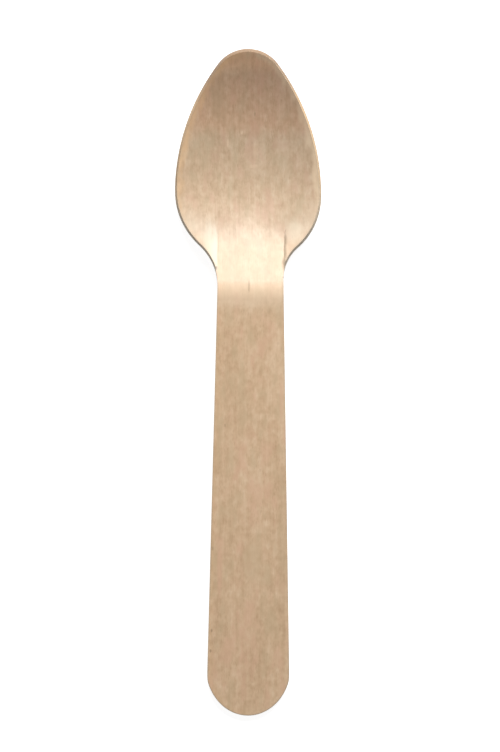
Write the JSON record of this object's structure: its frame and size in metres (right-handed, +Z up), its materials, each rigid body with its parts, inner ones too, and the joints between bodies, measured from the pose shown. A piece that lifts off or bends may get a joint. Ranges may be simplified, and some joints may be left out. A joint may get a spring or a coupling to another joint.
{
  "type": "wooden spoon",
  "caption": "Disposable spoon pressed from thin pale wood veneer, with a pointed oval bowl, a narrow creased neck and a flat handle with a rounded end.",
  "frame": {"origin": "on the ground under the middle of the spoon's length and width, with the spoon lying bowl up on its bowl and the end of its handle", "axes": "+Y along the spoon towards the tip of the bowl, +X across it to the right as seen from above with the tip away, +Z up out of the bowl"},
  "size_m": [0.0352, 0.1598, 0.0103],
  "materials": {
    "veneer": "smooth hot-pressed bare wood, grain along the spoon, soft sheen, unvarnished"
  },
  "bodies": {
    "root": {"spoon": "veneer"}
  },
  "joints": []
}
